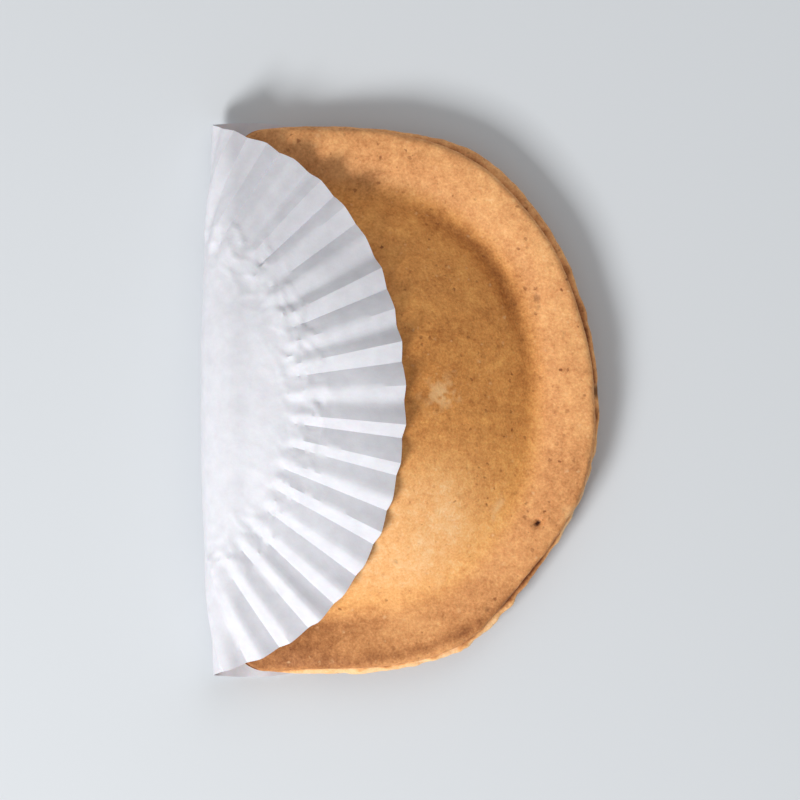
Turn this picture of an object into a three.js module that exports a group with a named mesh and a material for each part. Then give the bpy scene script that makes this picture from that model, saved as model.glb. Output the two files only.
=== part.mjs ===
// A baked half-moon empanada lying in its fluted paper case. Millimetres, +Z up.
// The case is one round pleated cup, folded in two around the straight side of the pastry like a taco:
// its lower flap lies under the pastry and its upper flap covers about half of the top.
// Both solids are worked out in the pastry's own plan: X runs from the fold to the round edge, Y along it.
// At the end the group is moved so that the origin is the centre of the base.
import * as THREE from "three";

// Pastry, in plan
const LENGTH = 108; // along the fold, from tip to tip
const WIDTH = 76; // from the fold to the middle of the round edge
const EDGE_RADIUS = LENGTH / 2; // of the sealed edge, which is a slightly squared arc
const EDGE_POWER = 2.35; // superellipse power of that arc: 2 would be a circle
const ARC_CENTRE_X = WIDTH - EDGE_RADIUS;
const CORNER_POWER = 4.5; // superellipse power of the fold side: straight, with rounded corners
const EDGE_WAVES = [
  { size: 0.35, count: 5, turn: 1.0 },
  { size: 0.22, count: 11, turn: 2.2 },
]; // how far the hand-sealed edge strays from its arc
const FLAT_SIDES = [
  { inset: 0.9, angle: 0.45, spread: 0.3 },
  { inset: -0.9, angle: 0.95, spread: 0.3 },
  { inset: 2.6, angle: -0.66, spread: 0.28 },
]; // stretches of the edge that lie further in, or further out where the inset is negative
const EVEN_UP_TO = 0.5; // cosine of the angle below which those strays fade out towards the tips

// Pastry, heights above the table
const BELLY_BASE = 1.3; // underside of the filled middle, just clear of the paper
const RIM_BASE = 2.4; // underside of the sealed rim, which lifts a little in the oven
const RIM_THICKNESS = 4.6; // two layers of dough pressed together
const RIM_TOP = RIM_BASE + RIM_THICKNESS;
const BELLY_TOP = 21.5;
const RIM_WIDTH = 12.8; // flat band round the filling
const RIM_RISE = 1.8; // the band turns up towards its edge
const RISE_START = 2; // from this far beyond the fold
const RISE_FULL = 26; // to all of it this far beyond the fold
const BELLY_SLOPE = 35; // plan length of the round rise from the rim band to the top of the belly
const BELLY_START = 0.1; // softens the start of that rise
const VALLEY_DEPTH = 0.7; // the pressed line where the band meets the belly
const VALLEY_WIDTH = 3.2;
const FOLD_SLOPE = 27; // plan length over which the top rises from the fold
const FOLD_ROUND = 12; // plan length over which the underside turns up into the fold
const BASE_FLAT_FROM = 3; // the underside sinks from the rim to the filled middle, starting this far in
const BASE_FLAT_TO = RIM_WIDTH + 6;

// The cut edge, from the underside to the top: how far in from the outline, and how high up the rim.
// The lower layer stands out beyond the upper one, with the seam as a groove between them.
const CUT_EDGE = [
  { inset: 1.7, share: 0.0 },
  { inset: 0.35, share: 0.12 },
  { inset: 0.0, share: 0.33 },
  { inset: 1.0, share: 0.47 },
  { inset: 0.55, share: 0.62 },
  { inset: 0.75, share: 0.85 },
  { inset: 2.1, share: 1.0 },
];
// The fold has no cut edge. It is one smooth turn, with the same number of steps.
const FOLD_INSETS = [3.6, 1.6, 0.45, 0, 0.4, 1.4, 3.6];
const FOLD_UNDER_STEPS = 3; // of which so many belong to the underside
const CUT_TO_FOLD = [-0.05, 0.3]; // the cut edge turns into the fold between these cosines of the angle

// Paper case
const PAPER_RADIUS = 54.7; // the flat disc that the case is pressed from
const BASE_RADIUS = 31.7; // its smooth round base
const FLUTES = 46;
const PAPER = 0.4; // wall of the solid, which stands for paper of about 0.05
const FOLD_OFFSET = 9; // from the disc's centre to the line where it turns round the fold
const ROOT_DEPTH = 0.4; // half height of a flute at its root
const RIM_DEPTH = 1.1; // and at the paper's rim
const ROOT_LENGTH = 2.5; // a flute starts within this length
const PRESSED = 0.25; // flutes under the pastry keep this share of their depth
const CLEARANCE = 0.45; // between paper and pastry
const TURN_RADIUS = 9.0; // how the paper turns round the fold, at the middle
const TURN_RADIUS_END = 3.6; // and at its two ends
const TURN_TAPER = 1.8; // power of the change between them
const OUTSTAND = 1.6; // from the fold out to the paper at the middle
const OUTSTAND_END = -0.9;
const FLAP_SPREAD = 0.985; // plan share of the upper flap's length, which climbs the belly
const SOFTNESS = 1.2; // rounds the place where the flap leaves the pastry

// Faceting
const PASTRY_MIDDLE = 0.46; // share of the width where the pastry's rows of facets meet
const PASTRY_COLUMNS = 72;
const PASTRY_TOP_ROWS = 12;
const PASTRY_BASE_ROWS = 3;
const STEPS_PER_FLUTE = 4;
const BASE_ROWS = 5;
const FLUTE_ROWS = 3;
const NORMAL_STEP = 0.5; // distance between the points that give the paper's normal

const { clamp, lerp, smoothstep } = THREE.MathUtils;
const softMax = (a, b, softness) => (a + b + Math.hypot(a - b, softness)) / 2;
const bump = (v, centre, spread) => Math.exp(-(((v - centre) / spread) ** 2));

// A quarter-circle rise from 0 to 1 while v goes from 0 to length.
function roundRise(v, length) {
  const left = 1 - clamp(v / length, 0, 1);
  return Math.sqrt(1 - left * left);
}

// Plan of the pastry

// X of the fold side of the outline at a given Y.
function foldX(y) {
  const share = Math.min(Math.abs(y) / EDGE_RADIUS, 1);
  return ARC_CENTRE_X * (1 - (1 - share ** CORNER_POWER) ** (1 / CORNER_POWER));
}

// How far a point lies inside the sealed edge.
function edgeGap(x, y) {
  const across = Math.max(x - ARC_CENTRE_X, 0) ** EDGE_POWER + Math.abs(y) ** EDGE_POWER;
  return Math.max(EDGE_RADIUS - across ** (1 / EDGE_POWER), 0);
}

// How far a point lies inside the fold.
const foldGap = (x, y) => Math.max(x - foldX(y), 0);

// The outline at an angle about the arc's centre. Where its cosine is negative, that is the fold side.
function outlinePoint(angle) {
  const c = Math.cos(angle);
  const s = Math.sin(angle);
  const power = 2 / (c < 0 ? CORNER_POWER : EDGE_POWER);
  const along = Math.sign(s) * Math.abs(s) ** power;
  const across = Math.abs(c) ** power;
  if (c < 0) return new THREE.Vector2(ARC_CENTRE_X * (1 - across), EDGE_RADIUS * along);
  const waves = EDGE_WAVES.map(({ size, count, turn }) => size * Math.sin(count * angle + turn));
  const flats = FLAT_SIDES.map((side) => -side.inset * bump(angle, side.angle, side.spread));
  const stray = [...waves, ...flats].reduce((sum, size) => sum + size, 0);
  const radius = EDGE_RADIUS + stray * smoothstep(c, 0, EVEN_UP_TO);
  return new THREE.Vector2(ARC_CENTRE_X + radius * across, radius * along);
}

// Heights of the pastry

// How far the rim band is turned up.
function rimLift(x, y) {
  const outer = 1 - smoothstep(edgeGap(x, y), 0, RIM_WIDTH);
  return RIM_RISE * outer * smoothstep(foldGap(x, y), RISE_START, RISE_FULL);
}

function pastryTop(x, y) {
  const gap = edgeGap(x, y);
  const share = Math.min(softMax((gap - RIM_WIDTH) / BELLY_SLOPE, 0, BELLY_START), 1);
  const belly = Math.sin((share * Math.PI) / 2);
  const valley = VALLEY_DEPTH * bump(gap, RIM_WIDTH, VALLEY_WIDTH);
  const rise = ((BELLY_TOP - RIM_TOP) * belly - valley) * roundRise(foldGap(x, y), FOLD_SLOPE);
  return RIM_TOP + rimLift(x, y) + rise;
}

function pastryBase(x, y) {
  const lift = (RIM_BASE - BELLY_BASE) * (1 - smoothstep(edgeGap(x, y), BASE_FLAT_FROM, BASE_FLAT_TO));
  const under = BELLY_BASE + lift + rimLift(x, y);
  return lerp(RIM_TOP, under, roundRise(foldGap(x, y), FOLD_ROUND));
}

// Closed surface from rings of points with equal counts, from the first pole to the last pole.
function closedRings(firstPole, rings, lastPole) {
  const count = rings[0].length;
  const points = [firstPole, ...rings.flat(), lastPole];
  const last = points.length - 1;
  const index = [];
  const at = (row, column) => 1 + row * count + (column % count);
  for (let c = 0; c < count; c++) {
    index.push(0, at(0, c + 1), at(0, c));
    index.push(last, at(rings.length - 1, c), at(rings.length - 1, c + 1));
    for (let r = 0; r + 1 < rings.length; r++) {
      index.push(at(r, c), at(r, c + 1), at(r + 1, c + 1));
      index.push(at(r, c), at(r + 1, c + 1), at(r + 1, c));
    }
  }
  const geometry = new THREE.BufferGeometry().setFromPoints(points);
  geometry.setIndex(index);
  geometry.computeVertexNormals();
  return geometry;
}

// The pastry is closed, so it is one solid: underside, cut edge or fold, then the top.
function pastryGeometry() {
  const centre = new THREE.Vector2(WIDTH * PASTRY_MIDDLE, 0);
  const columns = Array.from({ length: PASTRY_COLUMNS }, (_, i) => {
    const angle = (i / PASTRY_COLUMNS) * Math.PI * 2;
    return { edge: outlinePoint(angle), fold: smoothstep(-Math.cos(angle), ...CUT_TO_FOLD) };
  });
  const inward = (column, inset) => {
    const way = centre.clone().sub(column.edge);
    return column.edge.clone().addScaledVector(way.normalize(), inset);
  };
  const insetAt = (column, step) => lerp(CUT_EDGE[step].inset, FOLD_INSETS[step], column.fold);
  const ringOf = (place) => columns.map(place);
  const rings = [];

  for (let r = 1; r <= PASTRY_BASE_ROWS; r++) {
    rings.push(
      ringOf((column) => {
        const start = inward(column, insetAt(column, 0));
        const p = centre.clone().lerp(start, r / (PASTRY_BASE_ROWS + 1));
        return new THREE.Vector3(p.x, p.y, pastryBase(p.x, p.y));
      }),
    );
  }
  CUT_EDGE.forEach(({ share }, step) => {
    rings.push(
      ringOf((column) => {
        const p = inward(column, insetAt(column, step));
        const turn = step < FOLD_UNDER_STEPS ? pastryBase(p.x, p.y) : pastryTop(p.x, p.y);
        const cut = RIM_BASE + rimLift(p.x, p.y) + RIM_THICKNESS * share;
        return new THREE.Vector3(p.x, p.y, lerp(cut, turn, column.fold));
      }),
    );
  });
  for (let r = 1; r <= PASTRY_TOP_ROWS; r++) {
    rings.push(
      ringOf((column) => {
        const start = inward(column, insetAt(column, CUT_EDGE.length - 1));
        const p = start.lerp(centre, r / (PASTRY_TOP_ROWS + 1));
        return new THREE.Vector3(p.x, p.y, pastryTop(p.x, p.y));
      }),
    );
  }
  const low = new THREE.Vector3(centre.x, centre.y, pastryBase(centre.x, centre.y));
  const high = new THREE.Vector3(centre.x, centre.y, pastryTop(centre.x, centre.y));
  return closedRings(low, rings, high);
}

// Paper case: a flat pleated disc is mapped round the fold. Across the disc, reach is measured from the line
// that meets the fold, positive over the top of the pastry and negative under it.

// Half height of the flutes at a place on the disc.
function fluteDepth(radius, reach) {
  const grown = smoothstep(radius, BASE_RADIUS, BASE_RADIUS + ROOT_LENGTH);
  const along = clamp((radius - BASE_RADIUS) / (PAPER_RADIUS - BASE_RADIUS), 0, 1);
  const pressed = lerp(PRESSED, 1, smoothstep(reach, -TURN_RADIUS, TURN_RADIUS));
  return grown * lerp(ROOT_DEPTH, RIM_DEPTH, along) * pressed;
}

const turnRadius = (y) =>
  lerp(TURN_RADIUS, TURN_RADIUS_END, clamp(Math.abs(y) / PAPER_RADIUS, 0, 1) ** TURN_TAPER);

// Height of the upper flap's middle surface.
function flapHeight(x, y, depth) {
  const resting = pastryTop(x, y) + CLEARANCE + PAPER / 2 + depth;
  return softMax(resting, 2 * turnRadius(y) + depth, SOFTNESS);
}

// The paper's middle surface, before its flutes stand out of it.
function paperPoint(reach, y) {
  const depth = fluteDepth(Math.hypot(reach + FOLD_OFFSET, y), reach);
  const radius = turnRadius(y);
  const outermost = -lerp(OUTSTAND, OUTSTAND_END, (y / PAPER_RADIUS) ** 2);
  const turnX = outermost + radius;
  const floor = PAPER / 2 + depth;
  const top = flapHeight(turnX, y, depth);
  const half = (top - floor) / 2;
  const halfTurn = (Math.PI / 2) * Math.sqrt((radius ** 2 + half ** 2) / 2);
  if (reach > halfTurn) {
    const x = turnX + (reach - halfTurn) * FLAP_SPREAD;
    return new THREE.Vector3(x, y, flapHeight(x, y, depth));
  }
  if (reach < -halfTurn) return new THREE.Vector3(turnX - reach - halfTurn, y, floor);
  const angle = (reach / halfTurn) * (Math.PI / 2);
  return new THREE.Vector3(turnX - radius * Math.cos(angle), y, floor + half + half * Math.sin(angle));
}

// Unit normal of that surface, pointing away from the pastry.
function paperNormal(reach, y) {
  const across = paperPoint(reach + NORMAL_STEP, y).sub(paperPoint(reach - NORMAL_STEP, y));
  const along = paperPoint(reach, y + NORMAL_STEP).sub(paperPoint(reach, y - NORMAL_STEP));
  return across.cross(along).normalize();
}

function paperCaseGeometry() {
  const count = FLUTES * STEPS_PER_FLUTE;
  const radii = [];
  for (let r = 1; r <= BASE_ROWS; r++) radii.push((BASE_RADIUS * r) / BASE_ROWS);
  const flutesFrom = BASE_RADIUS + ROOT_LENGTH;
  for (let r = 0; r <= FLUTE_ROWS; r++) radii.push(lerp(flutesFrom, PAPER_RADIUS, r / FLUTE_ROWS));

  // One point on a face of the paper. side is 1 on the face away from the pastry and -1 on the other.
  const facePoint = (radius, column, side) => {
    const angle = (column / count) * Math.PI * 2;
    const reach = radius * Math.cos(angle) - FOLD_OFFSET;
    const y = -radius * Math.sin(angle);
    const phase = (column % STEPS_PER_FLUTE) / STEPS_PER_FLUTE;
    const wave = 1 - 4 * Math.abs(phase - 0.5); // -1 on a ridge line, 1 half a flute further on
    const lift = wave * fluteDepth(radius, reach) + (side * PAPER) / 2;
    return paperPoint(reach, y).addScaledVector(paperNormal(reach, y), lift);
  };
  const ring = (radius, side) => Array.from({ length: count }, (_, c) => facePoint(radius, c, side));
  const outside = radii.map((radius) => ring(radius, 1));
  const inside = radii.map((radius) => ring(radius, -1)).reverse();
  return closedRings(facePoint(0, 0, 1), [...outside, ...inside], facePoint(0, 0, -1));
}

const part = new THREE.Group();

const pastry = new THREE.Mesh(
  pastryGeometry(),
  new THREE.MeshStandardMaterial({ color: 0xc68c56, roughness: 0.7, metalness: 0 }),
);
pastry.name = "pastry";
part.add(pastry);

const paperCase = new THREE.Mesh(
  paperCaseGeometry(),
  new THREE.MeshStandardMaterial({ color: 0xebe9ec, roughness: 0.85, metalness: 0 }),
);
paperCase.name = "paper_case";
part.add(paperCase);

// Origin at the centre of the base
const box = new THREE.Box3().setFromObject(part);
const centre = box.getCenter(new THREE.Vector3());
part.position.set(-centre.x, -centre.y, -box.min.z);

export default part;
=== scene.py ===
"""Looks of a baked empanada that lies in its fluted paper case, which is folded round its straight side.

The pastry is sculpted from a ball of rings: a domed belly, a pressed line round it, a flat sealed rim and
a cut edge of two layers of dough. The case is a pleated disc of greaseproof paper wrapped round the fold,
with one flap under the pastry and one over it. Shapes are worked out in the pastry's own plan, in
millimetres: X runs from the fold to the sealed edge, Y along the fold, and Z is the height above the table.
"""

import math
import random

import bpy
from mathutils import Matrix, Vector, noise


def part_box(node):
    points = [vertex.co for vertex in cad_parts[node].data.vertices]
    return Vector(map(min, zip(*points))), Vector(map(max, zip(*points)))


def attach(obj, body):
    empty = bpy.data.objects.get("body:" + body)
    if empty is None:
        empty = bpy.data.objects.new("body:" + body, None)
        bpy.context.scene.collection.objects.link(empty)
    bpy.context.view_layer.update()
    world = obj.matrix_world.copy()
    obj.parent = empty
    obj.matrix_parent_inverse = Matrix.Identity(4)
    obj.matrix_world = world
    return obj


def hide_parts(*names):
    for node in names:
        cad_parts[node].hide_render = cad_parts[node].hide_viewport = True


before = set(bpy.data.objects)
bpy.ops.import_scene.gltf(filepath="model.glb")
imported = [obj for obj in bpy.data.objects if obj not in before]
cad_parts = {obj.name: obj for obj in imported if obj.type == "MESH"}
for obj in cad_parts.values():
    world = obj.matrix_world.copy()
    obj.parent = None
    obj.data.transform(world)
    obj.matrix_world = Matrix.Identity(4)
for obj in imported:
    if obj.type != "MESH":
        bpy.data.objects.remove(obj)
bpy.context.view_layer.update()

MM = 0.001
FOLD_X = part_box("pastry")[0][0] / MM  # where the fold is in the frame

# ---------------------------------------------------------------- sizes of the pastry, in millimetres

LENGTH = 108.0
WIDTH = 76.0
EDGE_RADIUS = LENGTH / 2
EDGE_POWER = 2.35  # the sealed edge is a slightly squared arc
ARC_CENTRE_X = WIDTH - EDGE_RADIUS
CORNER_POWER = 4.5  # the fold side is straight, with rounded corners
EDGE_WAVES = ((0.35, 5, 1.0), (0.22, 11, 2.2))  # size, count and turn of the waves of a hand-sealed edge
FLAT_SIDES = ((0.9, 0.45, 0.3), (-0.9, 0.95, 0.3), (2.6, -0.66, 0.28))  # inset, angle and spread
EVEN_UP_TO = 0.5  # cosine of the angle below which those strays fade out towards the tips

BELLY_BASE = 1.3
RIM_BASE = 2.4
RIM_THICKNESS = 4.6
RIM_TOP = RIM_BASE + RIM_THICKNESS
BELLY_TOP = 21.5
RIM_WIDTH = 12.8
RIM_RISE = 1.8  # the rim turns up towards its edge
BELLY_SLOPE = 35.0  # the belly rises over this length from the rim
BELLY_START = 0.1  # softness of the line where it starts
FOLD_SLOPE = 27.0  # and over this length from the fold
FOLD_ROUND = 12.0  # the underside turns up into the fold over this length

VALLEY_DEPTH = 0.9  # pressed line where the filling ends
VALLEY_WIDTH = 3.0
VALLEY_LEAST = 0.3  # share of its depth that is left on the lower half
CREASE_DEPTH = 0.6  # a sharper line within the valley
CREASE_TURN = (0.75, 0.4)  # direction of its middle, and spread
CREASE_GAP = (RIM_WIDTH + 0.8, 1.2)  # how far inside the edge it lies, and its width

# Stretches: something starts at the first value and is complete at the second, in millimetres or radians
RISE_STRETCH = (2, 26)  # the rim turns up, by distance from the fold
BASE_STRETCH = (3, RIM_WIDTH + 6)  # the underside sinks to the belly, by distance inside the edge
VALLEY_STRETCH = (-0.7, 0.1)  # the valley gets its full depth, by direction
PAST_FOLD = (4, 12)  # the torn edge and its seam come in, by distance from the fold
CUT_TO_FOLD = (0.05, -0.3)  # the cut edge gives way to the fold, by the cosine of the angle

# Cut edge from the underside to the top: inset from the outline, and share of the rim's thickness
CUT_EDGE = (
    (2.3, 0.00), (1.1, 0.02), (0.35, 0.10), (0.0, 0.20), (0.05, 0.32), (0.45, 0.42), (1.15, 0.46),
    (1.2, 0.50), (0.75, 0.56), (0.6, 0.68), (0.65, 0.80), (0.95, 0.91), (1.7, 0.98), (2.6, 1.00),
)
FOLD_INSETS = (4.6, 3.2, 2.0, 1.1, 0.5, 0.15, 0.0, 0.0, 0.1, 0.35, 0.8, 1.5, 2.6, 4.2)
UPPER_LAYER_STEPS = (4, 8)  # steps of the cut edge over which the upper layer is set back
FOLD_TURN_STEPS = (4, 9)  # steps over which the fold turns from the underside to the top
LIP_PLACES = ((1.3, 0.75, 0.52), (0.8, -1.15, 0.5))  # where the lower layer stands out: size, angle, spread
LIP_WAVE = (0.25, 7, 0.6)  # size, count and turn

# ---------------------------------------------------------------- sizes of the paper case, in millimetres

PAPER_RADIUS = 54.7
BASE_RADIUS = 31.7
FLUTES = 46
PAPER = 0.14  # thicker than real greaseproof paper, so that its cut rim still shows
FOLD_OFFSET = 9.0  # from the disc's centre to the line that lies against the fold
ROOT_DEPTH = 0.35  # half height of the flutes where they start
RIM_DEPTH = 1.1  # and at the rim
ROOT_LENGTH = 2.5
PRESSED = 0.25  # share of that height which is left under the pastry
CLEARANCE = 0.6  # between the paper and the pastry below it
TURN_RADIUS = 9.0  # of the paper's turn round the middle of the fold
TURN_RADIUS_END = 3.6  # and past the tips
TURN_TAPER = 1.8  # power of the change between the two
OUTSTAND = 1.6  # how far the paper stands out beyond the fold
OUTSTAND_END = -0.9  # at its ends it lies inside the line of the fold
FLAP_SPREAD = 0.985  # share of the flap's flat length that it covers in plan
SOFTNESS = 1.2  # rounding where the flap leaves the pastry


# ---------------------------------------------------------------- small helpers


def clamp(value, low=0.0, high=1.0):
    return max(low, min(high, value))


def lerp(a, b, share):
    return a + (b - a) * share


def smoothstep(value, start, full):
    """Goes smoothly from 0 at the start to 1 at the full value, which may be the lower of the two."""
    share = clamp((value - start) / (full - start))
    return share * share * (3 - 2 * share)


def soft_max(a, b, softness):
    return (a + b + math.hypot(a - b, softness)) / 2


def round_rise(value, length):
    """A quarter-circle rise from 0 to 1 while value goes from 0 to length."""
    left = 1 - clamp(value / length)
    return math.sqrt(1 - left * left)


def bell(value, middle, spread):
    """1 at the middle, falling to 0 on both sides."""
    return math.exp(-(((value - middle) / spread) ** 2))


def bump_at(x, y, centre, reach):
    """1 at a centre in plan, falling to 0 beyond its reach in X and in Y."""
    return bell(x, centre[0], reach[0]) * bell(y, centre[1], reach[1])


SEED_STEPS = (17.3, 5.1, 11.7)  # each seed takes its noise from so much further along


def unevenness(place, size, seed):
    """Smooth random height from -1 to 1, with lumps of about that size in millimetres."""
    return noise.noise(place / size + Vector([seed * step for step in SEED_STEPS]))


def layered(place, layers):
    """Unevenness in layers, each with its amount, the size of its lumps and a seed."""
    return sum(amount * unevenness(place, size, seed) for amount, size, seed in layers)


def apply_modifier(piece, kind, **settings):
    bpy.context.view_layer.objects.active = piece
    modifier = piece.modifiers.new(kind.title(), kind)
    for setting, value in settings.items():
        setattr(modifier, setting, value)
    bpy.ops.object.modifier_apply(modifier=modifier.name)


def finish_shape(piece, name):
    """Names a piece and puts its mesh in the frame, in metres, while its object stays at the origin."""
    piece.name = name
    piece.data.name = name
    for vertex in piece.data.vertices:
        vertex.co = Vector((vertex.co.x + FOLD_X, vertex.co.y, vertex.co.z)) * MM
    piece.data.update()


# ---------------------------------------------------------------- form of the pastry


def fold_x(y):
    share = min(abs(y) / EDGE_RADIUS, 1.0)
    return ARC_CENTRE_X * (1 - (1 - share**CORNER_POWER) ** (1 / CORNER_POWER))


def edge_gap(x, y):
    """How far a point lies inside the sealed edge."""
    across = max(x - ARC_CENTRE_X, 0.0) ** EDGE_POWER + abs(y) ** EDGE_POWER
    return max(EDGE_RADIUS - across ** (1 / EDGE_POWER), 0.0)


def fold_gap(x, y):
    return max(x - fold_x(y), 0.0)


def direction(x, y):
    """Angle about the arc's centre: 0 is the middle of the sealed edge, and the upper end is positive."""
    return math.atan2(y, x - ARC_CENTRE_X)


def outline_point(angle):
    """The outline in plan, counterclockwise from the middle of the sealed edge."""
    c, s = math.cos(angle), math.sin(angle)
    power = 2 / (CORNER_POWER if c < 0 else EDGE_POWER)
    along = math.copysign(abs(s) ** power, s)
    across = abs(c) ** power
    if c < 0:
        return Vector((ARC_CENTRE_X * (1 - across), EDGE_RADIUS * along))
    stray = sum(size * math.sin(count * angle + turn) for size, count, turn in EDGE_WAVES)
    stray -= sum(size * bell(angle, middle, spread) for size, middle, spread in FLAT_SIDES)
    radius = EDGE_RADIUS + stray * smoothstep(c, 0, EVEN_UP_TO)
    return Vector((ARC_CENTRE_X + radius * across, radius * along))


def rim_lift(x, y):
    """How far the rim is turned up."""
    return RIM_RISE * smoothstep(edge_gap(x, y), RIM_WIDTH, 0) * smoothstep(fold_gap(x, y), *RISE_STRETCH)


def pastry_top(x, y):
    gap, turn = edge_gap(x, y), direction(x, y)
    share = min(soft_max((gap - RIM_WIDTH) / BELLY_SLOPE, 0, BELLY_START), 1.0)
    belly = math.sin(share * math.pi / 2)
    valley = VALLEY_DEPTH * lerp(VALLEY_LEAST, 1, smoothstep(turn, *VALLEY_STRETCH))
    valley *= bell(gap, RIM_WIDTH, VALLEY_WIDTH)
    valley += CREASE_DEPTH * bell(turn, *CREASE_TURN) * bell(gap, *CREASE_GAP)
    rise = ((BELLY_TOP - RIM_TOP) * belly - valley) * round_rise(fold_gap(x, y), FOLD_SLOPE)
    return RIM_TOP + rim_lift(x, y) + rise


def pastry_base(x, y):
    lowest = lerp(RIM_BASE, BELLY_BASE, smoothstep(edge_gap(x, y), *BASE_STRETCH))
    return lerp(RIM_TOP, lowest + rim_lift(x, y), round_rise(fold_gap(x, y), FOLD_ROUND))


def height_in_rim(place):
    """Height above the underside of the rim, which follows the rim where it turns up."""
    return place.z - RIM_BASE - rim_lift(place.x, place.y)


# ---------------------------------------------------------------- pastry

COLUMNS = 112
BASE_RINGS = 10
TOP_RINGS = 26
RINGS = BASE_RINGS + len(CUT_EDGE) + TOP_RINGS
PASTRY_CENTRE = Vector((WIDTH * 0.46, 0.0))  # where the rings of the underside and of the top close


def make_pastry():
    """A ball of rings, pulled ring by ring into the underside, the cut edge and the top, and smoothed."""
    bpy.ops.object.select_all(action="DESELECT")
    bpy.ops.mesh.primitive_uv_sphere_add(segments=COLUMNS, ring_count=RINGS + 1, radius=1.0)
    pastry = bpy.context.object
    for vertex in pastry.data.vertices:
        latitude = math.asin(clamp(vertex.co.z, -1.0, 1.0)) / math.pi + 0.5
        ring = round(latitude * (RINGS + 1)) - 1  # -1 and RINGS are the poles
        vertex.co = pastry_point(math.atan2(vertex.co.y, vertex.co.x), ring)
    apply_modifier(pastry, "SUBSURF", levels=2, render_levels=2)
    return pastry


def lip(angle):
    """How much further the lower layer stands out beyond the upper one, round the edge."""
    size, count, turn = LIP_WAVE
    wave = size * math.sin(count * angle + turn)
    return wave + sum(size * bell(angle, middle, spread) for size, middle, spread in LIP_PLACES)


def pastry_point(angle, ring):
    edge = outline_point(angle)
    fold = smoothstep(math.cos(angle), *CUT_TO_FOLD)

    def inward(step):
        way = PASTRY_CENTRE - edge
        inset = CUT_EDGE[step][0] + smoothstep(step, *UPPER_LAYER_STEPS) * lip(angle)
        return edge + way.normalized() * lerp(inset, FOLD_INSETS[step], fold)

    if ring < 0:
        return Vector((*PASTRY_CENTRE, pastry_base(*PASTRY_CENTRE)))
    if ring >= RINGS:
        return Vector((*PASTRY_CENTRE, pastry_top(*PASTRY_CENTRE)))
    if ring < BASE_RINGS:
        place = PASTRY_CENTRE.lerp(inward(0), (ring + 1) / (BASE_RINGS + 1))
        return Vector((*place, pastry_base(*place)))
    step = ring - BASE_RINGS
    if step < len(CUT_EDGE):
        place = inward(step)
        turn = lerp(pastry_base(*place), pastry_top(*place), smoothstep(step, *FOLD_TURN_STEPS))
        cut = RIM_BASE + rim_lift(*place) + RIM_THICKNESS * CUT_EDGE[step][1]
        return Vector((*place, lerp(cut, turn, fold)))
    place = inward(len(CUT_EDGE) - 1).lerp(PASTRY_CENTRE, (step - len(CUT_EDGE) + 1) / (TOP_RINGS + 1))
    return Vector((*place, pastry_top(*place)))


# ---------------------------------------------------------------- relief of the crust

# Layers of unevenness: height and size of the lumps in millimetres, and seed
FILLING_LUMPS = ((0.38, 26, 1), (0.22, 11, 2))
CRUMB = ((0.05, 2.2, 3), (0.03, 1.1, 4))
EDGE_WANDER = ((0.32, 14, 6), (0.14, 4.5, 7))
TORN_LOWER_LAYER = ((0.45, 2.6, 8), (0.25, 1.2, 9))
TORN_UPPER_LAYER = ((0.2, 1.7, 10),)
TORN_TOP = ((0.12, 1.5, 11),)

BLISTER_HEIGHT = 0.16
BLISTER_SIZE = 3.4
BLISTER_SEED = 5
BLISTER_START = 0.35  # only lumps higher than this share become blisters

LEAST_ROUGH = 0.5  # the edge is torn all round,
ROUGHEST = (-0.75, 0.5)  # and most about this direction, with this spread
LOWER_SETBACK = 0.1
UPPER_WANDER = 0.6  # the upper layer wanders with the lower one, by this share

FACING_UP = (-0.1, 0.5)  # stretch of the top, by the height of the normal
CUT_STRETCH = (3.5, 1.5)  # of the cut edge, by distance inside the outline
TOP_EDGE_STRETCH = (7, 3)  # of the torn border of the top, by that distance
LOWER_LAYER_STRETCH = (2.4, 1.7)  # of the lower layer, by height in the rim

PINHOLES = (  # x, y, radius, depth
    (64.3, -24.0, 0.7, 1.3), (64.2, 20.0, 0.9, 0.3), (75.8, 2.3, 0.65, 0.6), (75.8, 1.2, 0.55, 0.6),
    (64.6, 18.2, 0.4, 0.2), (36.5, -31.5, 0.45, 0.3), (54.5, -41.0, 0.7, 0.3), (69.5, 13.0, 0.35, 0.2),
)


def relief(place, out):
    """How far a place on the crust is moved outwards: lumps, blisters, crumb, torn edges and pinholes."""
    gap = edge_gap(place.x, place.y)
    top = smoothstep(out.z, *FACING_UP)
    blister = max(unevenness(place, BLISTER_SIZE, BLISTER_SEED) - BLISTER_START, 0) / (1 - BLISTER_START)
    shift = top * (layered(place, FILLING_LUMPS) + BLISTER_HEIGHT * blister) + layered(place, CRUMB)

    cut = smoothstep(gap, *CUT_STRETCH) * smoothstep(fold_gap(place.x, place.y), *PAST_FOLD)
    lower = smoothstep(height_in_rim(place), *LOWER_LAYER_STRETCH)
    roughest = bell(direction(place.x, place.y), *ROUGHEST)
    rough = LEAST_ROUGH + roughest
    wander = layered(place, EDGE_WANDER)
    shift += cut * lower * (wander + rough * layered(place, TORN_LOWER_LAYER) - LOWER_SETBACK)
    shift += cut * (1 - lower) * (UPPER_WANDER * wander + rough * layered(place, TORN_UPPER_LAYER))
    shift += top * roughest * smoothstep(gap, *TOP_EDGE_STRETCH) * layered(place, TORN_TOP)

    for x, y, radius, depth in PINHOLES:
        shift -= top * depth * bump_at(place.x, place.y, (x, y), (radius, radius))
    return shift


def sculpt_pastry(pastry):
    mesh = pastry.data
    moved = [vertex.co + vertex.normal * relief(vertex.co, vertex.normal) for vertex in mesh.vertices]
    for vertex, place in zip(mesh.vertices, moved):
        vertex.co = place
    mesh.update()
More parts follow.
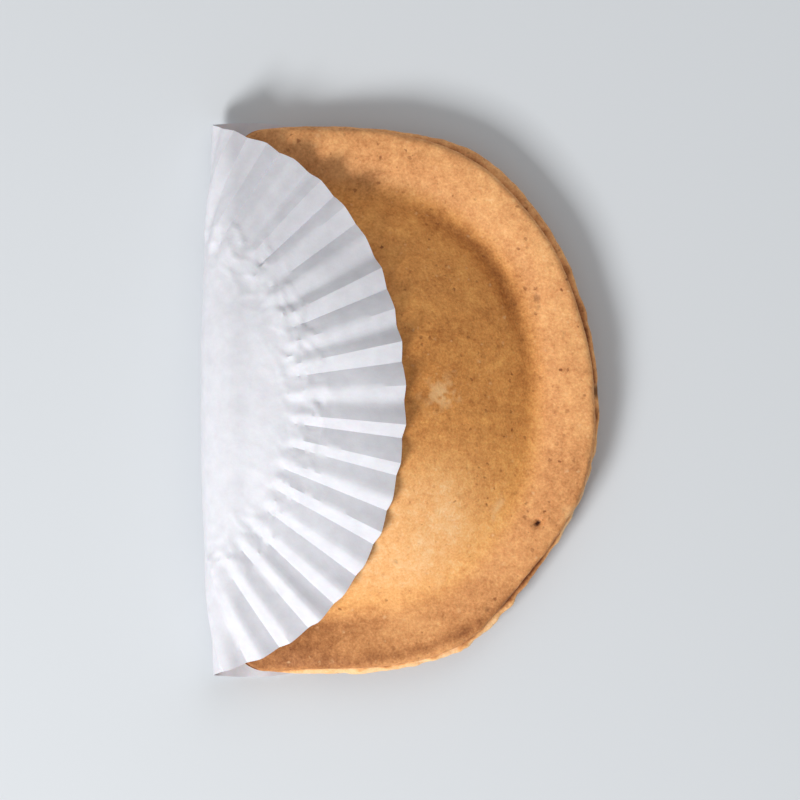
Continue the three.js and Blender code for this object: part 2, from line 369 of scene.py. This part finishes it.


# ---------------------------------------------------------------- browning of the crust, with painted shade and highlights

# Amounts are on a scale from 0 for pale dough to 1 for dark brown crust. A negative amount makes it paler.
USUAL_BROWN = 0.42
BROWN_CLOUDS = ((0.06, 17, 21), (0.06, 7, 22))  # layers of unevenness: amount, size and seed
# The belly is darker about its middle: partly browning, partly painted shade
BELLY_BROWN_AND_SHADE = 0.14
BELLY_BROWN_AND_SHADE_PATCH = ((46, 6), (16, 22))  # centre and reach
# Patches low on the belly that are partly paler crust and partly a painted highlight
PALE_AND_HIGHLIGHT_AMOUNT = -0.22
PALE_AND_HIGHLIGHT_PATCHES = ((1.0, (34, -31), (16, 13)), (0.8, (44, -20), (11, 12)))  # share, centre and reach
TIP_BROWN = -0.1
TIP_PATCH = ((40, -46), (8, 4))

RIM_STRETCH = (RIM_WIDTH + 1, RIM_WIDTH - 4)  # of the rim's own tone, by distance inside the edge
RIM_WANDER = ((1.2, 17, 21),)
RIM_STRETCHES = ((0.07, -0.1, -0.9), (0.04, 0.9, 1.4))  # amount, and directions of its start and full value

# Lines along the edge: amount, direction of the middle and spread, distance inside the edge and width
CREASE_SHADE_AND_TOAST_LINES = (
    # painted shade in the crease where the belly meets the rim
    (0.26, 0.7, 0.45, RIM_WIDTH + 1.0, 1.5),
    # a toasted streak near the lower edge
    (0.28, -1.05, 0.4, 3.0, 1.2),
)
# A painted highlight along the outer edge of the upper layer, on the upper right of the rim
HIGHLIGHT_LINE = -0.05
HIGHLIGHT_LINE_GAP = (4.5, 2.5)
HIGHLIGHT_LINE_STRETCHES = ((-0.3, 0.2), (1.3, 0.8))

# The darker lower end of the rim: partly browning, partly painted shade
LOW_END_BROWN_AND_SHADE = 0.22
LOW_END_PALE = -0.02
LOW_END_X = (44, 18)  # the brown comes in between these distances from the fold
LOW_END_STRETCH = (-0.75, -1.25)
LOW_END_WANDER = ((-0.04, 12, 23),)
LOW_END_BAND = (RIM_WIDTH - 1.6, RIM_WIDTH - 3.0)
LOW_END_BAND_WANDER = ((0.9, 8, 25),)
LOW_END_EDGE = (0.5, 2.0)

# The lower layer that stands out from under the upper one, and the dark seam between the two
LIP_HEIGHT = (2.3, 1.7)
LIP_GAP = (3.2, 2.2)
LIP_FACING = (-0.5, 0.1)
LIP_STRETCHES = ((-0.44, 0.1, -0.5), (-0.05, 0.1, 0.5))  # amount, and directions as above
SEAM_BROWN = 0.5
SEAM_HEIGHT = (0.49 * RIM_THICKNESS, 0.27)
SEAM_GAP = (5, 3.5)

UNDERSIDE_BROWN = 0.14
UNDERSIDE_FACING = (-0.2, -0.7)
UNDERSIDE_GAP = (2, 8)


def rim_share(place):
    """1 on the rim and 0 on the belly, along a line that wanders."""
    return smoothstep(edge_gap(place.x, place.y) + layered(place, RIM_WANDER), *RIM_STRETCH)


def pale_and_highlight_share(place):
    """How far a place lies in the patches low on the belly, which are partly paler crust, partly painted
    highlight.
    """
    return clamp(sum(share * bump_at(place.x, place.y, *patch) for share, *patch in PALE_AND_HIGHLIGHT_PATCHES))


# Partly browning, partly painted shade on the lower end of the rim
def low_end_brown_and_shade(place, gap, turn):
    end = smoothstep(turn + layered(place, LOW_END_WANDER), *LOW_END_STRETCH)
    band = smoothstep(gap + layered(place, LOW_END_BAND_WANDER), *LOW_END_BAND)
    amount = LOW_END_BROWN_AND_SHADE * smoothstep(place.x, *LOW_END_X) + LOW_END_PALE
    return amount * end * band * smoothstep(gap, *LOW_END_EDGE)


def lip_brown(place, out, gap, turn):
    height = height_in_rim(place)
    lip_share = smoothstep(height, *LIP_HEIGHT) * smoothstep(gap, *LIP_GAP) * smoothstep(out.z, *LIP_FACING)
    seam = SEAM_BROWN * bell(height, *SEAM_HEIGHT) * smoothstep(gap, *SEAM_GAP)
    value = seam * smoothstep(fold_gap(place.x, place.y), *PAST_FOLD)
    for amount, start, full in LIP_STRETCHES:
        value += amount * lip_share * smoothstep(turn, start, full)
    return value


def browning_and_painted_light(place, out):
    """How far the crust is baked at a place, with painted shade and painted highlights added in."""
    x, y = place.x, place.y
    gap, turn = edge_gap(x, y), direction(x, y)
    rim = rim_share(place)
    value = USUAL_BROWN + layered(place, BROWN_CLOUDS)
    # Painted shade, partly browning, on the belly's middle; the low patches are partly paler crust, partly
    # painted highlight
    value += (1 - rim) * (BELLY_BROWN_AND_SHADE * bump_at(x, y, *BELLY_BROWN_AND_SHADE_PATCH) + PALE_AND_HIGHLIGHT_AMOUNT * pale_and_highlight_share(place))
    value += TIP_BROWN * bump_at(x, y, *TIP_PATCH)
    for amount, start, full in RIM_STRETCHES:
        value += amount * rim * smoothstep(turn, start, full)
    # Painted shade in the crease, and a toasted streak near the lower edge
    for amount, middle, spread, depth, width in CREASE_SHADE_AND_TOAST_LINES:
        value += amount * bell(turn, middle, spread) * bell(gap, depth, width)
    # Painted highlight along the upper layer's edge
    highlight_line = HIGHLIGHT_LINE * bell(gap, *HIGHLIGHT_LINE_GAP)
    for stretch in HIGHLIGHT_LINE_STRETCHES:
        highlight_line *= smoothstep(turn, *stretch)
    value += highlight_line
    # The lower end of the rim is partly browning, partly painted shade
    value += low_end_brown_and_shade(place, gap, turn) + lip_brown(place, out, gap, turn)
    value += UNDERSIDE_BROWN * smoothstep(out.z, *UNDERSIDE_FACING) * smoothstep(gap, *UNDERSIDE_GAP)
    return clamp(value)


# ---------------------------------------------------------------- egg wash, loose flour and painted shade in pinholes

WASH_FACING = (0.2, 0.6)
WASH_LOST = 0.9  # share of the wash that is missing in the pale patches, which are partly painted highlight

FLOUR_PATCHES = (  # strength, centre, reach, and how far it leans in X for each millimetre in Y
    (0.8, (45.5, 1.2), (3.6, 2.9), 0), (0.6, (56.54, -21), (1.1, 5), 0.46),
    (0.5, (70.3, -22.5), (1.6, 2.4), 0), (0.4, (45, -35), (1.3, 2.8), 0),
)
FLOUR_GRAINS = ((1.0, 2.4, 24), (0.7, 0.9, 26))
FLOUR_STRETCH = (0.15, 0.75)

PIT_SHADE_STRENGTH = 1.3  # painted shade inside the pinholes, for each millimetre of a pinhole's depth
PIT_FLOOR = 0.5  # share of a pinhole's radius that is fully dark
PIT_FACING = (-0.5, 0.2)


def egg_wash(place, out):
    washed = (1 - rim_share(place)) * (1 - WASH_LOST * pale_and_highlight_share(place))
    return washed * smoothstep(out.z, *WASH_FACING)


def loose_flour(place, _):
    dust = 0.0
    for strength, centre, reach, lean in FLOUR_PATCHES:
        dust += strength * bump_at(place.x - lean * (place.y - centre[1]), place.y, centre, reach)
    return clamp(dust * smoothstep(dust + layered(place, FLOUR_GRAINS), *FLOUR_STRETCH))


# Painted shade inside the pinholes, darker for deeper holes
def pit_shade(place, out):
    darkest = 0.0
    for x, y, radius, depth in PINHOLES:
        distance = math.hypot(place.x - x, place.y - y)
        darkest = max(darkest, depth * smoothstep(distance, radius, PIT_FLOOR * radius))
    return clamp(PIT_SHADE_STRENGTH * darkest * smoothstep(out.z, *PIT_FACING))


def paint_pastry(pastry):
    """Stores how baked each place is, with painted shade and highlights mixed in, and where egg wash, loose
    flour and pits lie; the pits are painted shade in the pinholes.
    """
    mesh = pastry.data
    painters = {"baked": browning_and_painted_light, "wash": egg_wash, "flour": loose_flour, "pits": pit_shade}
    for name in painters:
        mesh.attributes.new(name, "FLOAT", "POINT")
    for name, painter in painters.items():
        values = [painter(vertex.co, vertex.normal) for vertex in mesh.vertices]
        mesh.attributes[name].data.foreach_set("value", values)


# ---------------------------------------------------------------- paper case


def turn_radius(y):
    return lerp(TURN_RADIUS, TURN_RADIUS_END, clamp(abs(y) / PAPER_RADIUS) ** TURN_TAPER)


def flute_depth(radius, reach, root=BASE_RADIUS):
    """Half height of the flutes at a place on the disc."""
    grown = smoothstep(radius, root, root + ROOT_LENGTH)
    along = clamp((radius - BASE_RADIUS) / (PAPER_RADIUS - BASE_RADIUS))
    pressed = lerp(PRESSED, 1, smoothstep(reach, -TURN_RADIUS, TURN_RADIUS))
    return grown * lerp(ROOT_DEPTH, RIM_DEPTH, along) * pressed


def flap_height(x, y, depth):
    resting = pastry_top(x, y) + CLEARANCE + PAPER / 2 + depth
    return soft_max(resting, 2 * turn_radius(y) + depth, SOFTNESS)


def paper_point(reach, y):
    """The paper's middle surface. Reach is positive over the top of the pastry and negative under it."""
    depth = flute_depth(math.hypot(reach + FOLD_OFFSET, y), reach)
    radius = turn_radius(y)
    outermost = -lerp(OUTSTAND, OUTSTAND_END, (y / PAPER_RADIUS) ** 2)
    turn_x = outermost + radius
    floor = PAPER / 2 + depth
    half = (flap_height(turn_x, y, depth) - floor) / 2
    half_turn = (math.pi / 2) * math.sqrt((radius**2 + half**2) / 2)
    if reach > half_turn:
        x = turn_x + (reach - half_turn) * FLAP_SPREAD
        return Vector((x, y, flap_height(x, y, depth)))
    if reach < -half_turn:
        return Vector((turn_x - reach - half_turn, y, floor))
    angle = (reach / half_turn) * (math.pi / 2)
    return Vector((turn_x - radius * math.cos(angle), y, floor + half + half * math.sin(angle)))


NORMAL_STEP = 0.5  # distance between the points that give the paper's normal


def paper_normal(reach, y):
    """Unit normal of that surface, pointing away from the pastry."""
    across = paper_point(reach + NORMAL_STEP, y) - paper_point(reach - NORMAL_STEP, y)
    along = paper_point(reach, y + NORMAL_STEP) - paper_point(reach, y - NORMAL_STEP)
    return across.cross(along).normalized()


STEPS_PER_FLUTE = 8
PAPER_COLUMNS = FLUTES * STEPS_PER_FLUTE
ROW_STARTS = ((0.0, 16), (27.0, 26), (40.0, 17))  # from that radius on, so many rows to the next
ROUNDING = 1e-6  # keeps a column that starts a flute from being counted with the one before
FLUTE_SEED = 8
FLUTE_SIZES = (0.72, 1.12)  # smallest and largest height of a flute, as a share of the usual one
FLUTE_SHARES = (0.36, 0.54)  # share of a flute that rises, before it falls again
FLUTE_ROOTS = (-1.8, 3.2)  # how much nearer to or further from the centre a flute may start

PLEAT_STRAIGHT = 0.75  # how straight a flute's sides are, because its edges are pressed and not sharp
UPPER_STRETCH = (-4, 10)  # the flap that shows is uneven, by reach, and the other one is pressed flat
SAG_SIZE = 15
SAG_SEED = 32
SAG_STRETCH = (6, 30)  # the sag comes in between these distances from the disc's centre
SAG_HEIGHT = 0.25
SAG_ON_FLUTES = 0.3
RIPPLES = ((0.06, 5, 33),)  # height and size in millimetres, and seed
CREASES = ((2.4, 5.5, 31), (1.8, 3.2, 34))  # steepness, size and seed of the crinkles
CREASE_WIDTH = 0.15
CRINKLED_RING = (BASE_RADIUS + 3.5, 4.5)  # the crinkles gather where the flutes start
CRINKLED_ALL_OVER = 0.12


def make_paper_case():
    """A disc extruded outwards ring by ring, then pleated, folded round the pastry and thickened."""
    bpy.ops.object.select_all(action="DESELECT")
    radii = []
    ends = [start for start, _ in ROW_STARTS[1:]] + [PAPER_RADIUS]
    for (start, rows), end in zip(ROW_STARTS, ends):
        radii += [lerp(start, end, row / rows) for row in range(1, rows + 1)]
    bpy.ops.mesh.primitive_circle_add(vertices=PAPER_COLUMNS, radius=radii[0], fill_type="TRIFAN")
    paper = bpy.context.object
    bpy.ops.object.mode_set(mode="EDIT")
    bpy.ops.mesh.select_mode(type="EDGE")
    bpy.ops.mesh.select_all(action="SELECT")
    bpy.ops.mesh.region_to_loop()
    for before, after in zip(radii, radii[1:]):
        bpy.ops.mesh.extrude_edges_move()
        bpy.ops.transform.resize(value=(after / before, after / before, 1), center_override=(0, 0, 0))
    bpy.ops.object.mode_set(mode="OBJECT")

    draw = random.Random(FLUTE_SEED)
    sizes = [draw.uniform(*FLUTE_SIZES) for _ in range(FLUTES)]
    shares = [draw.uniform(*FLUTE_SHARES) for _ in range(FLUTES)]
    roots = [BASE_RADIUS + draw.uniform(*FLUTE_ROOTS) for _ in range(FLUTES)]
    for vertex in paper.data.vertices:
        vertex.co = pleat_and_fold(vertex.co, sizes, shares, roots)
    bpy.ops.object.mode_set(mode="EDIT")
    bpy.ops.mesh.select_all(action="SELECT")
    bpy.ops.mesh.normals_make_consistent(inside=False)
    bpy.ops.object.mode_set(mode="OBJECT")
    apply_modifier(paper, "SOLIDIFY", thickness=PAPER, offset=0.0, use_even_offset=False)
    return paper


def pleat(phase, crest):
    """Height of a flute's section from 1 to -1 and back, with its turn where the phase reaches the crest."""
    wave = 1 - 2 * (phase / crest) if phase < crest else 2 * (phase - crest) / (1 - crest) - 1
    return lerp(math.sin(wave * math.pi / 2), wave, PLEAT_STRAIGHT)


def crinkles(place, radius):
    """Height of the sharp little creases, which are most common where the flutes start."""
    height = 0.0
    for steepness, size, seed in CREASES:
        height += steepness * max(CREASE_WIDTH - abs(unevenness(place, size, seed)), 0)
    return height * (bell(radius, *CRINKLED_RING) + CRINKLED_ALL_OVER)


def pleat_and_fold(flat, sizes, shares, roots):
    """Where a place on the flat disc goes. The lists hold each flute's own height, crest and root."""
    radius = flat.length
    position = (math.atan2(flat.y, flat.x) / (2 * math.pi)) % 1.0 * FLUTES + ROUNDING
    flute = int(position) % FLUTES
    phase = position - int(position)

    reach = flat.x - FOLD_OFFSET
    over = smoothstep(reach, *UPPER_STRETCH)
    place = Vector((flat.x, flat.y, 0))
    sag = unevenness(place, SAG_SIZE, SAG_SEED)
    root = lerp(roots[flute], roots[flute - 1], smoothstep(0.5 - phase, 0, 0.5) / 2)
    size = lerp(1, sizes[flute] * (1 + SAG_ON_FLUTES * sag), over)
    lift = -pleat(phase, shares[flute]) * flute_depth(radius, reach, lerp(BASE_RADIUS, root, over)) * size
    lift += over * crinkles(place, radius)
    lift += over * (SAG_HEIGHT * sag * smoothstep(radius, *SAG_STRETCH) + layered(place, RIPPLES))
    return paper_point(reach, flat.y) + paper_normal(reach, flat.y) * lift


# ---------------------------------------------------------------- materials

MIX_A = 6  # the colour sockets of a Mix node, whose names are taken by its other kinds of socket
MIX_B = 7
MIX_RESULT = 2


def colour(code):
    """An sRGB hex colour as linear RGBA."""
    parts = [int(code[i : i + 2], 16) / 255 for i in (1, 3, 5)]
    return [c / 12.92 if c <= 0.04045 else ((c + 0.055) / 1.055) ** 2.4 for c in parts] + [1.0]


def add(tree, kind, inputs=None, **settings):
    """Adds a node with its settings. Inputs are numbers, colours or other nodes' outputs."""
    made = tree.nodes.new(kind)
    for setting, value in settings.items():
        setattr(made, setting, value)
    for name, value in (inputs or {}).items():
        if isinstance(value, bpy.types.NodeSocket):
            tree.links.new(value, made.inputs[name])
        else:
            made.inputs[name].default_value = value
    return made


def set_stops(ramp, stops):
    """Gives a colour ramp its stops, each a place and a hex colour."""
    elements = ramp.color_ramp.elements
    while len(elements) < len(stops):
        elements.new(1.0)
    for element, (place, code) in zip(elements, stops):
        element.position = place
        element.color = colour(code)


def new_material(name):
    material = bpy.data.materials.new(name)
    material.use_nodes = True
    material.node_tree.nodes.clear()
    return material, material.node_tree


FLECK_SMALLEST = 0.05  # reach of the smallest fleck, as a share of the spacing
FLECK_RAGGED = 2.4  # their edges are ragged with noise so many times finer than the spacing,
FLECK_SHIFT = 0.5  # which moves them by this share of it
FLECK_EDGE = {"From Min": -0.06, "From Max": 0.08}  # softness of their edges
FLECK_CROWD = {"From Min": 0.38, "From Max": 0.6}  # tones of the crowd pattern between which they get common
FLECK_SPARSE = 0.1  # their strength where they are rare


def flecks(tree, place, spacing, largest, crowd, strength):
    """Ragged flecks, one to a cell of the spacing, up to the largest share of it across.

    They are gathered where the crowd pattern is bright.
    """
    noise_look = {"Vector": place, "Scale": FLECK_RAGGED / spacing, "Detail": 2.0}
    ragged = add(tree, "ShaderNodeTexNoise", noise_look).outputs["Color"]
    shift = add(
        tree, "ShaderNodeVectorMath", {0: ragged, "Scale": FLECK_SHIFT * spacing}, operation="SCALE",
    ).outputs[0]
    moved = add(tree, "ShaderNodeVectorMath", {0: place, 1: shift}, operation="ADD").outputs[0]
    cells = add(tree, "ShaderNodeTexVoronoi", {"Vector": moved, "Scale": 1 / spacing, "Randomness": 1.0})
    distance = cells.outputs["Distance"]
    draw = add(tree, "ShaderNodeSeparateColor", {"Color": cells.outputs["Color"]})

    reaches = {"To Min": FLECK_SMALLEST, "To Max": largest}
    reach = add(tree, "ShaderNodeMapRange", {"Value": draw.outputs["Green"], **reaches}).outputs[0]
    inside = add(tree, "ShaderNodeMath", {0: reach, 1: distance}, operation="SUBTRACT").outputs[0]
    near = add(tree, "ShaderNodeMapRange", {"Value": inside, **FLECK_EDGE}).outputs[0]

    strengths = {"To Min": FLECK_SPARSE, "To Max": strength}
    dense = add(tree, "ShaderNodeMapRange", {"Value": crowd, **FLECK_CROWD, **strengths}).outputs[0]
    chosen = add(tree, "ShaderNodeMath", {0: draw.outputs["Red"], 1: dense}, operation="MULTIPLY").outputs[0]
    return add(tree, "ShaderNodeMath", {0: near, 1: chosen}, operation="MULTIPLY").outputs[0]


CRUST_TONES = (  # from raw dough to burnt crust
    (0.0, "#ffd29e"), (0.25, "#f6b878"), (0.45, "#df9d63"), (0.65, "#c0804c"), (1.0, "#7d431c"),
)
CRUST_PATTERNS = (  # size in millimetres, detail, roughness and how much each one varies the browning
    (5, 3.0, 0.55, 0.36), (1.6, 3.0, 0.6, 0.46), (0.5, 2.0, 0.6, 0.5),
)


def baked_shortcrust():
    """Baked shortcrust, rolled and brushed thinly with egg.

    It is matt and grainy, and browner where it stands high or lies close to the oven wall. Painted shade and
    painted highlights are mixed into its browning, and painted shade darkens its pinholes. It has fine dark
    specks of burnt flour and pale dust of loose flour.
    """
    material, tree = new_material("baked shortcrust")
    place = add(tree, "ShaderNodeTexCoord").outputs["Object"]
    baked, wash, flour, pits = (
        add(tree, "ShaderNodeAttribute", attribute_name=name).outputs["Fac"]
        for name in ("baked", "wash", "flour", "pits")
    )

    # The browning, with the painted shade and highlights stored in it, is mottled by patches, by blotches
    # and by a fine grain
    mottles = []
    for size, detail, roughness, share in CRUST_PATTERNS:
        look = {"Vector": place, "Scale": 1 / (size * MM), "Detail": detail, "Roughness": roughness}
        pattern = add(tree, "ShaderNodeTexNoise", look).outputs["Fac"]
        centred = add(tree, "ShaderNodeMath", {0: pattern, 1: 0.5}, operation="SUBTRACT").outputs[0]
        scaled = add(tree, "ShaderNodeMath", {0: centred, 1: share}, operation="MULTIPLY").outputs[0]
        baked = add(tree, "ShaderNodeMath", {0: baked, 1: scaled}, operation="ADD").outputs[0]
        mottles.append(pattern)
    patches, blotches, grain = mottles
    crust = add(tree, "ShaderNodeValToRGB", {"Fac": baked})
    set_stops(crust, CRUST_TONES)

    # Egg wash is yellower, and lies thickest on the belly
    washed = add(
        tree, "ShaderNodeMix", {"Factor": wash, MIX_A: crust.outputs["Color"], MIX_B: colour("#fff7d2")},
        data_type="RGBA", blend_type="MULTIPLY",
    ).outputs[MIX_RESULT]

    # Specks of burnt flour and flecks of raw flour, gathered in some places, then loose flour and painted
    # shade in the pinholes
    burnt = flecks(tree, place, 1.6 * MM, 0.25, patches, 0.85)
    raw = flecks(tree, place, 2.1 * MM, 0.2, blotches, 0.6)
    tone = washed
    for share, code in ((burnt, "#80431a"), (raw, "#ffd09a"), (flour, "#f6c68c"), (pits, "#4a2209")):
        layer = {"Factor": share, MIX_A: tone, MIX_B: colour(code)}
        tone = add(tree, "ShaderNodeMix", layer, data_type="RGBA").outputs[MIX_RESULT]

    # Relief that is too fine for the mesh: open grain and shallow pits
    height = add(tree, "ShaderNodeMath", {0: grain, 1: 0.5}, operation="MULTIPLY").outputs[0]
    height = add(tree, "ShaderNodeMath", {0: height, 1: blotches}, operation="ADD").outputs[0]
    height = add(tree, "ShaderNodeMath", {0: height, 1: burnt}, operation="SUBTRACT").outputs[0]
    bump = add(tree, "ShaderNodeBump", {"Height": height, "Strength": 0.55, "Distance": 0.22 * MM})
    spread = {"Value": blotches, "From Min": 0.3, "From Max": 0.7, "To Min": 0.52, "To Max": 0.7}
    rough = add(tree, "ShaderNodeMapRange", spread)
    shader = add(tree, "ShaderNodeBsdfPrincipled", {
        "Base Color": tone, "Roughness": rough.outputs[0], "Normal": bump.outputs["Normal"],
        "IOR": 1.45, "Specular IOR Level": 0.35, "Subsurface Weight": 0.06, "Subsurface Scale": 0.6 * MM,
    })
    add(tree, "ShaderNodeOutputMaterial", {"Surface": shader.outputs[0]})
    return material


PAPER_CLOUDS = {"Scale": 1 / (3 * MM), "Detail": 4.0, "Roughness": 0.6}  # 3 mm across
PAPER_FIBRES = {"Scale": 1 / (0.6 * MM), "Detail": 3.0, "Roughness": 0.6}  # drawn coarser than real ones


def greaseproof_paper():
    """Thin white greaseproof paper, pressed into flutes: matt, and cloudy where its fibres lie denser."""
    material, tree = new_material("greaseproof paper")
    place = add(tree, "ShaderNodeTexCoord").outputs["Object"]
    clouds = add(tree, "ShaderNodeTexNoise", {"Vector": place, **PAPER_CLOUDS})
    tone = add(tree, "ShaderNodeValToRGB", {"Fac": clouds.outputs["Fac"]})
    set_stops(tone, ((0.3, "#d8d7dd"), (0.7, "#e3e2e8")))
    fibres = add(tree, "ShaderNodeTexNoise", {"Vector": place, **PAPER_FIBRES}).outputs["Fac"]
    bump = add(tree, "ShaderNodeBump", {"Height": fibres, "Strength": 0.25, "Distance": 0.1 * MM})
    shader = add(tree, "ShaderNodeBsdfPrincipled", {
        "Base Color": tone.outputs["Color"], "Roughness": 0.6, "Normal": bump.outputs["Normal"],
        "IOR": 1.5, "Specular IOR Level": 0.35, "Subsurface Weight": 0.1, "Subsurface Scale": 0.5 * MM,
    })
    add(tree, "ShaderNodeOutputMaterial", {"Surface": shader.outputs[0]})
    return material


def table_top():
    """A pale matt table top that the empanada lies on."""
    material, tree = new_material("pale table top")
    shader = add(tree, "ShaderNodeBsdfPrincipled", {"Base Color": colour("#d8dce0"), "Roughness": 0.8})
    add(tree, "ShaderNodeOutputMaterial", {"Surface": shader.outputs[0]})
    return material


# ---------------------------------------------------------------- the pieces

PLEAT_ANGLE = math.radians(40)  # sharper turns of the paper than this are shaded as edges

pastry = make_pastry()
sculpt_pastry(pastry)
paint_pastry(pastry)
finish_shape(pastry, "baked_pastry")
bpy.ops.object.shade_smooth()
pastry.data.materials.append(baked_shortcrust())
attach(pastry, "root")
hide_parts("pastry")

paper = make_paper_case()
finish_shape(paper, "fluted_paper_case")
bpy.ops.object.shade_smooth_by_angle(angle=PLEAT_ANGLE)
paper.data.materials.append(greaseproof_paper())
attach(paper, "root")
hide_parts("paper_case")

# ---------------------------------------------------------------- table, light and camera, in metres

TABLE_SIZE = 4.0
ROOM_LIGHT = 0.36
CAMERA_DISTANCE = 0.9
CAMERA_LENS = 205
CAMERA_CLIP_START = 0.01

bpy.ops.object.select_all(action="DESELECT")
bpy.ops.mesh.primitive_plane_add(size=TABLE_SIZE, location=(0, 0, 0))
table = bpy.context.object
table.name = "table_top"
table.data.materials.append(table_top())

world = bpy.data.worlds.new("studio")
bpy.context.scene.world = world
world.use_nodes = True
world.node_tree.nodes["Background"].inputs["Color"].default_value = (1, 1, 1, 1)
world.node_tree.nodes["Background"].inputs["Strength"].default_value = ROOM_LIGHT


def add_softbox(name, place, size, power):
    """A square area light that looks at the empanada."""
    bpy.ops.object.light_add(type="AREA", location=place)
    light = bpy.context.object
    light.name = name
    light.data.size = size
    light.data.energy = power
    light.rotation_euler = Vector(place).to_track_quat("Z", "Y").to_euler()


add_softbox("key_light", place=(-0.54, -0.64, 0.66), size=0.35, power=10.0)
add_softbox("fill_light", place=(0.3, 0.8, 0.9), size=0.8, power=2.0)

# The camera looks straight down, with the fold on the left
bpy.ops.object.camera_add(location=(0, 0, CAMERA_DISTANCE))
camera = bpy.context.object
camera.data.lens = CAMERA_LENS
camera.data.clip_start = CAMERA_CLIP_START
bpy.context.scene.camera = camera
bpy.context.scene.view_settings.view_transform = "Standard"
